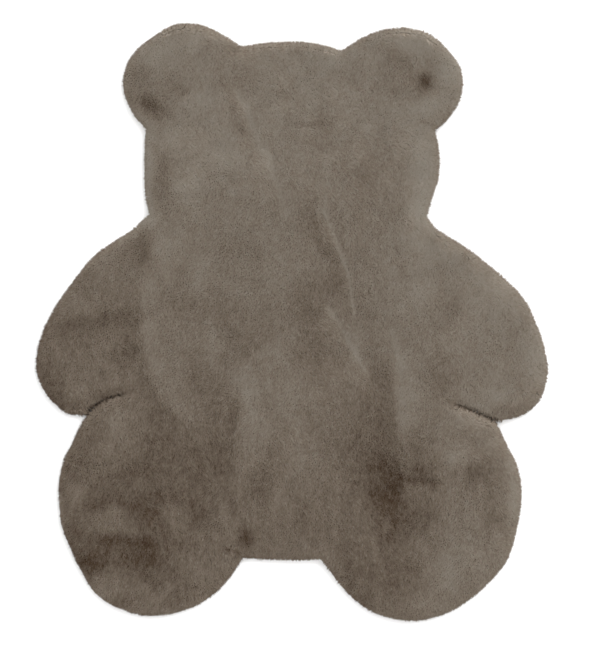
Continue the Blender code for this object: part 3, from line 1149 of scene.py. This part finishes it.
@dataclass(frozen=True)
class FloorFinish:
    """Smooth pale floor with the faintest mottling."""

    pale: Colour = (0.93, 0.93, 0.93)
    paler: Colour = (0.96, 0.96, 0.96)
    pale_up_to: float = 0.3
    paler_from: float = 0.7
    cloud_scale: float = 1.5
    roughness: float = 0.7
    specular: float = 0.1

    def material(self) -> bpy.types.Material:
        """Make the floor's material.

        Returns:
            The material.
        """
        material, tree, shader = material_nodes("floor")
        place = tree.nodes.new("ShaderNodeTexCoord")
        cloud = tree.nodes.new("ShaderNodeTexNoise")
        cloud.inputs["Scale"].default_value = self.cloud_scale
        tree.links.new(place.outputs["Object"], cloud.inputs["Vector"])
        stops = {self.pale_up_to: self.pale, self.paler_from: self.paler}
        colour = ramp(tree, cloud.outputs["Fac"], stops)
        tree.links.new(colour, shader.inputs["Base Color"])
        shader.inputs["Roughness"].default_value = self.roughness
        shader.inputs["Specular IOR Level"].default_value = self.specular
        return material


@dataclass(frozen=True)
class Studio:
    """Pale floor, soft light and a camera straight above.

    The photograph's sizes are in its own pixels, with the middle of the rug and its width as they lie there.
    """

    photo_width: int = 600
    photo_height: int = 646
    photo_middle_x: float = 292.0
    photo_middle_y: float = 322.0
    photo_span_x: float = 512.0
    lens_mm: float = 85.0
    film_mm: float = 24.0
    floor_half: float = 6.0
    floor_height: float = -0.0003
    white: Colour = (1.0, 1.0, 1.0)
    room_light: float = 1.3
    sun_light: float = 1.7
    sun_spread: float = 40.0
    sun_tilt: tuple[float, float] = (-36.0, 36.0)

    def build_floor(self) -> None:
        """Lay the floor just under the rug."""
        half, height = self.floor_half, self.floor_height
        mesh = bpy.data.meshes.new("floor")
        corners = [(x, y, height) for x, y in ((-half, -half), (half, -half), (half, half), (-half, half))]
        mesh.from_pydata(corners, [], [(0, 1, 2, 3)])
        mesh.materials.append(FloorFinish().material())
        floor = bpy.data.objects.new("floor", mesh)
        bpy.context.scene.collection.objects.link(floor)
        floor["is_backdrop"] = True

    def build_light(self) -> None:
        """Light the room evenly, with a broad soft sun from above the ears."""
        world = bpy.data.worlds.new("studio")
        world.use_nodes = True
        background = world.node_tree.nodes["Background"]
        background.inputs["Color"].default_value = (*self.white, 1.0)
        background.inputs["Strength"].default_value = self.room_light
        bpy.context.scene.world = world
        light = bpy.data.lights.new("window", "SUN")
        light.energy = self.sun_light
        light.angle = math.radians(self.sun_spread)
        sun = bpy.data.objects.new("window", light)
        sun.rotation_euler = (math.radians(self.sun_tilt[0]), math.radians(self.sun_tilt[1]), 0.0)
        bpy.context.scene.collection.objects.link(sun)

    def build_camera(self, rug_width: float) -> None:
        """Look straight down, framed as the photograph is.

        Args:
            rug_width: the rug's real width, which spans a known part of the photograph.
        """
        pixel = rug_width / self.photo_span_x
        data = bpy.data.cameras.new("camera")
        data.sensor_fit = "VERTICAL"
        data.sensor_height = self.film_mm
        data.lens = self.lens_mm
        camera = bpy.data.objects.new("camera", data)
        camera.location = (
            (self.photo_width / 2 - self.photo_middle_x) * pixel,
            (self.photo_middle_y - self.photo_height / 2) * pixel,
            self.photo_height * pixel * self.lens_mm / self.film_mm,
        )
        bpy.context.scene.collection.objects.link(camera)
        bpy.context.scene.camera = camera
        bpy.context.scene.view_settings.view_transform = "Standard"


def main() -> None:
    """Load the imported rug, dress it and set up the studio."""
    logging.basicConfig(level=logging.INFO, format="%(name)s: %(message)s")
    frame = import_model()
    cad_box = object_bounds()
    sides = [round(float(side), 4) for corner in cad_box for side in corner]
    log.info("packed rug: nodes %d, box %s", len(frame["nodes"]), sides)

    pattern = RugPattern().read()
    log.info("pattern: %d edge points, area %.3f m2", len(pattern.edge), pattern.area)

    cloth = Cloth(pattern)
    cloth.build()
    cloth.dress()
    log.info("cloth: %d faces", len(cloth.body.data.polygons))

    plush = Plush(pattern, cloth, NapChart())
    plush.build()
    plush.dress()
    for piece in plush.pieces:
        log.info("%s: %d faces", piece.name, len(piece.data.polygons))

    for piece in (cloth.body, *plush.pieces):
        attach(piece, "root")
    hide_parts(pattern.node)

    studio = Studio()
    studio.build_floor()
    studio.build_light()
    studio.build_camera(pattern.size[0])


if __name__ == "__main__":
    main()
